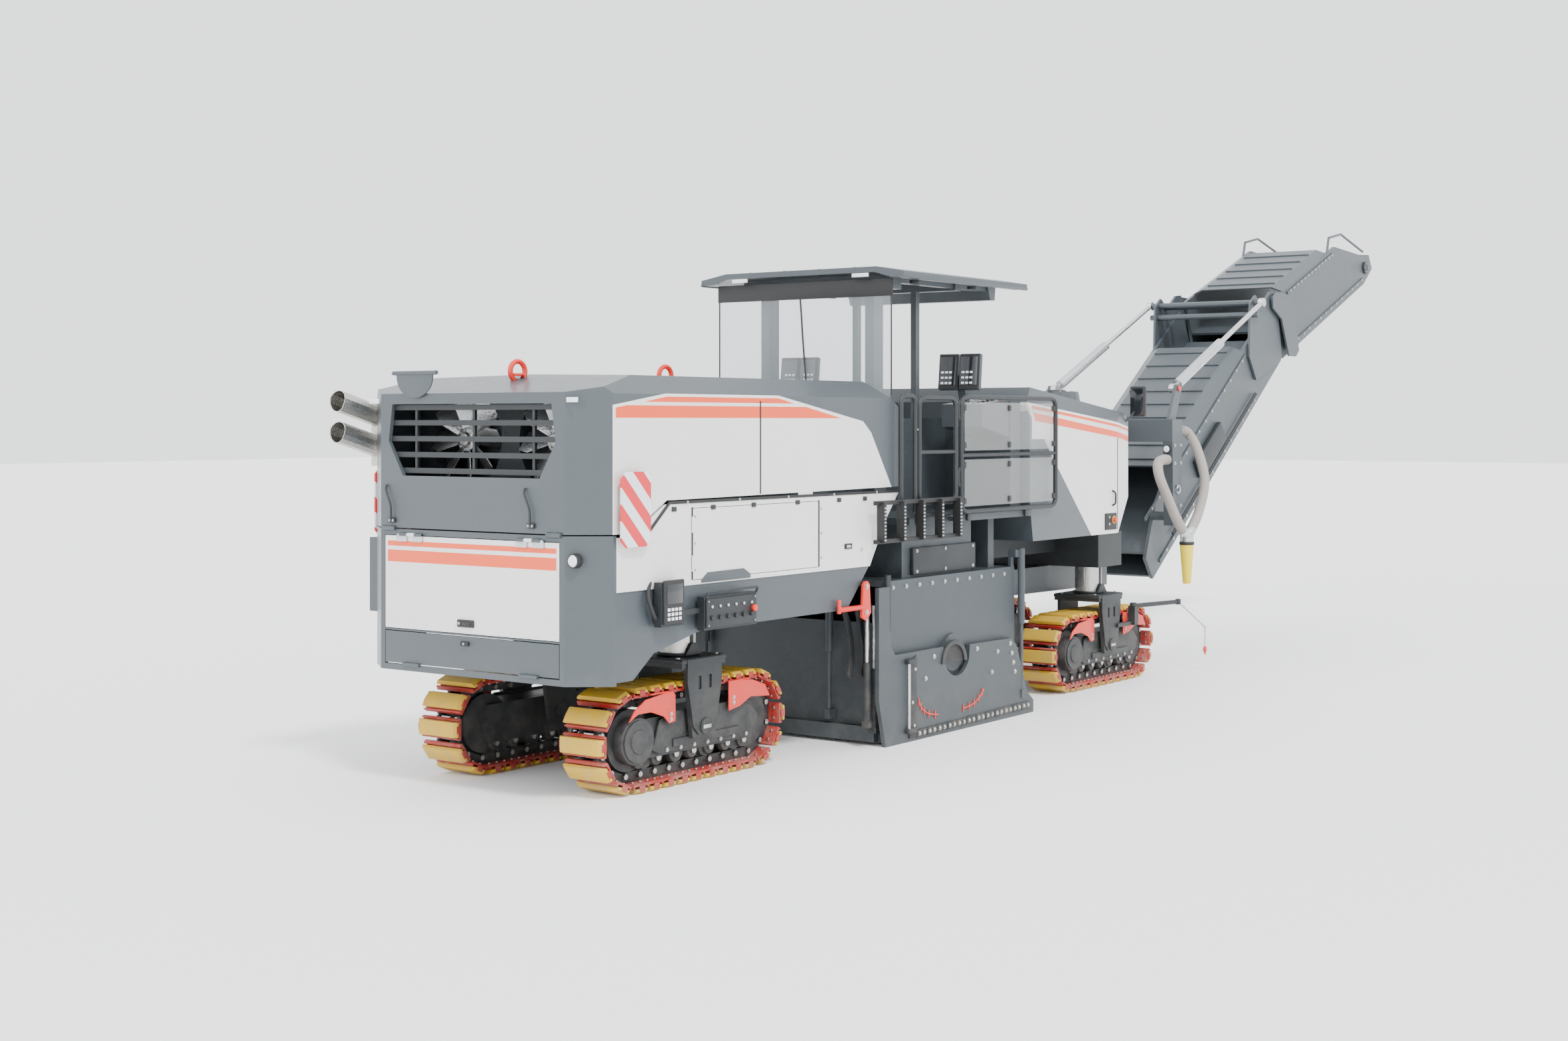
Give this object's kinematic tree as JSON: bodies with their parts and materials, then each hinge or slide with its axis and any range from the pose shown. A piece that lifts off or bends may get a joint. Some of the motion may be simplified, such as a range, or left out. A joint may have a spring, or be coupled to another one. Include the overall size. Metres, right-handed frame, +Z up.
{
  "type": "cold planer",
  "caption": "Road milling machine on four steerable crawler tracks with a milling drum, operator platform under a canopy and a folding front conveyor.",
  "frame": {"origin": "middle of the bounding box in plan, on the ground under the tracks", "axes": "+X forward towards the conveyor tip, +Y to the machine's left, +Z up"},
  "size_m": [16.4165, 2.86, 5.3648],
  "materials": {
    "dark": "satin near-black paint",
    "grey": "semi-gloss blue-grey paint",
    "hose": "ribbed flexible hose",
    "silver": "satin",
    "steel": "bright polished",
    "white": "semi-gloss warm white paint",
    "yellow": "worn polyurethane pads"
  },
  "bodies": {
    "machine": {"main_frame": "dark", "rear_posts": "grey", "engine_block": "grey", "cooler_pack": "dark", "lower_side_right": "white", "lower_side_left": "white", "side_skirt_right": "dark", "side_skirt_left": "dark", "warning_board_right": "white", "warning_board_left": "white", "side_controls": "dark", "left_side_box": "grey", "drum_housing": "dark", "railing_right": "dark", "railing_left": "dark", "platform_deck": "dark", "operator_console": "grey", "front_body": "white", "swivel_mount": "dark", "primary_conveyor": "dark"},
    "engine_hood": {"hood_shell": "grey", "hood_side_right": "white", "hood_side_left": "white", "fan_grille": "dark", "exhaust_pipes": "steel"},
    "rear_door": {"rear_door": "white"},
    "rear_flap": {"rear_flap": "grey"},
    "milling_drum": {"milling_drum": "dark"},
    "scraper_blade": {"scraper_blade": "dark"},
    "canopy": {"canopy": "grey"},
    "swivel_frame": {"swivel_frame": "dark", "dust_hoses": "hose"},
    "conveyor_lower": {"conveyor_lower": "grey", "conveyor_lower_cover": "grey"},
    "conveyor_upper": {"conveyor_upper": "grey", "conveyor_upper_cover": "grey"},
    "sensor_arm": {"sensor_arm": "dark"},
    "crawler_rear_right": {"track_rear_right": "yellow", "crawler_frame_rear_right": "dark"},
    "crawler_front_right": {"track_front_right": "yellow", "crawler_frame_front_right": "dark"},
    "fan_right": {"fan_right": "silver"},
    "service_door_right": {"service_door_right": "white"},
    "gate_right": {"gate_right": "dark"},
    "ladder_right": {"ladder_right": "dark"},
    "side_plate_right": {"side_plate_right": "dark"},
    "lift_barrel_right": {"lift_barrel_right": "dark"},
    "lift_rod_right": {"lift_rod_right": "steel"},
    "crawler_rear_left": {"track_rear_left": "yellow", "crawler_frame_rear_left": "dark"},
    "crawler_front_left": {"track_front_left": "yellow", "crawler_frame_front_left": "dark"},
    "fan_left": {"fan_left": "silver"},
    "service_door_left": {"service_door_left": "white"},
    "gate_left": {"gate_left": "dark"},
    "ladder_left": {"ladder_left": "dark"},
    "side_plate_left": {"side_plate_left": "dark"},
    "lift_barrel_left": {"lift_barrel_left": "dark"},
    "lift_rod_left": {"lift_rod_left": "steel"}
  },
  "joints": [
    {"name": "rear_steering_right", "type": "hinge", "parent": "machine", "child": "crawler_rear_right", "pos_m": [-6.65, -0.76, 0.5], "axis": [0, 0, 1], "range_deg": [-18, 18]},
    {"name": "rear_steering_left", "type": "hinge", "parent": "machine", "child": "crawler_rear_left", "pos_m": [-6.65, 0.76, 0.5], "axis": [0, 0, 1], "range_deg": [-18, 18]},
    {"name": "front_steering_right", "type": "hinge", "parent": "machine", "child": "crawler_front_right", "pos_m": [-0.19, -0.76, 0.5], "axis": [0, 0, 1], "range_deg": [-18, 18]},
    {"name": "front_steering_left", "type": "hinge", "parent": "machine", "child": "crawler_front_left", "pos_m": [-0.19, 0.76, 0.5], "axis": [0, 0, 1], "range_deg": [-18, 18]},
    {"name": "drum_spin", "type": "hinge", "parent": "machine", "child": "milling_drum", "pos_m": [-3.48, 0, 0.66], "axis": [0, 1, 0], "continuous": true},
    {"name": "fan_spin_right", "type": "hinge", "parent": "machine", "child": "fan_right", "pos_m": [-7.67, -0.48, 2.63], "axis": [1, 0, 0], "continuous": true},
    {"name": "fan_spin_left", "type": "hinge", "parent": "machine", "child": "fan_left", "pos_m": [-7.67, 0.48, 2.63], "axis": [1, 0, 0], "continuous": true},
    {"name": "hood_tilt", "type": "hinge", "parent": "machine", "child": "engine_hood", "pos_m": [-8.084, 0, 1.96], "axis": [0, -1, 0], "range_deg": [0, 40]},
    {"name": "rear_door_swing", "type": "hinge", "parent": "machine", "child": "rear_door", "pos_m": [-8.088, 0, 1.915], "axis": [0, 1, 0], "range_deg": [0, 85]},
    {"name": "rear_flap_swing", "type": "hinge", "parent": "machine", "child": "rear_flap", "pos_m": [-8.088, 0, 0.936], "axis": [0, -1, 0], "range_deg": [0, 100]},
    {"name": "service_door_swing_right", "type": "hinge", "parent": "machine", "child": "service_door_right", "pos_m": [-7.038, -1.254, 1.8], "axis": [0, 0, -1], "range_deg": [0, 110]},
    {"name": "gate_swing_right", "type": "hinge", "parent": "machine", "child": "gate_right", "pos_m": [-3.505, -1.3, 2.5], "axis": [0, 0, -1], "range_deg": [0, 90]},
    {"name": "ladder_fold_right", "type": "hinge", "parent": "machine", "child": "ladder_right", "pos_m": [-3.61, -1.35, 1.9], "axis": [0, -1, 0], "range_deg": [0, 90]},
    {"name": "side_plate_lift_right", "type": "slide", "parent": "machine", "child": "side_plate_right", "axis": [0, 0, 1], "range_m": [0, 0.35]},
    {"name": "service_door_swing_left", "type": "hinge", "parent": "machine", "child": "service_door_left", "pos_m": [-7.038, 1.254, 1.8], "axis": [0, 0, 1], "range_deg": [0, 110]},
    {"name": "gate_swing_left", "type": "hinge", "parent": "machine", "child": "gate_left", "pos_m": [-3.505, 1.3, 2.5], "axis": [0, 0, 1], "range_deg": [0, 90]},
    {"name": "ladder_fold_left", "type": "hinge", "parent": "machine", "child": "ladder_left", "pos_m": [-3.61, 1.35, 1.9], "axis": [0, -1, 0], "range_deg": [0, 90]},
    {"name": "side_plate_lift_left", "type": "slide", "parent": "machine", "child": "side_plate_left", "axis": [0, 0, 1], "range_m": [0, 0.35]},
    {"name": "scraper_lift", "type": "slide", "parent": "machine", "child": "scraper_blade", "axis": [0, 0, 1], "range_m": [0, 0.3]},
    {"name": "canopy_height", "type": "slide", "parent": "machine", "child": "canopy", "axis": [0, 0, 1], "range_m": [-0.55, 0]},
    {"name": "conveyor_slew", "type": "hinge", "parent": "machine", "child": "swivel_frame", "pos_m": [1.1, 0, 2.54], "axis": [0, 0, 1], "range_deg": [-60, 60]},
    {"name": "conveyor_lift", "type": "hinge", "parent": "swivel_frame", "child": "conveyor_lower", "pos_m": [1.52, 0, 1.7], "axis": [0, -1, 0], "range_deg": [-10, 6]},
    {"name": "conveyor_fold", "type": "hinge", "parent": "conveyor_lower", "child": "conveyor_upper", "pos_m": [4.68415, 0, 4.32026], "axis": [0, -1, 0], "range_deg": [0, 140]},
    {"name": "cylinder_swing_right", "type": "hinge", "parent": "swivel_frame", "child": "lift_barrel_right", "pos_m": [1.73, -0.78, 3.145], "axis": [0, -1, 0], "range_deg": [-13.73, 8.64]},
    {"name": "cylinder_stroke_right", "type": "slide", "parent": "lift_barrel_right", "child": "lift_rod_right", "axis": [0.9096, 0, 0.4156], "range_m": [-0.1412, 0.2287]},
    {"name": "cylinder_swing_left", "type": "hinge", "parent": "swivel_frame", "child": "lift_barrel_left", "pos_m": [1.73, 0.78, 3.145], "axis": [0, -1, 0], "range_deg": [-13.73, 8.64]},
    {"name": "cylinder_stroke_left", "type": "slide", "parent": "lift_barrel_left", "child": "lift_rod_left", "axis": [0.9096, 0, 0.4156], "range_m": [-0.1412, 0.2287]},
    {"name": "sensor_arm_swing", "type": "hinge", "parent": "crawler_front_right", "child": "sensor_arm", "pos_m": [0.25, -1.06, 0.8], "axis": [0, 0, -1], "range_deg": [0, 80]}
  ],
  "couplings": [
    {"joint": "rear_steering_left", "follows": "rear_steering_right", "ratio": 1},
    {"joint": "front_steering_left", "follows": "front_steering_right", "ratio": 1},
    {"joint": "cylinder_swing_right", "follows": "conveyor_lift", "ratio": 1.2732},
    {"joint": "cylinder_stroke_right", "follows": "conveyor_lift", "m_per_rad": -1.253},
    {"joint": "cylinder_swing_left", "follows": "conveyor_lift", "ratio": 1.2732},
    {"joint": "cylinder_stroke_left", "follows": "conveyor_lift", "m_per_rad": -1.253}
  ]
}
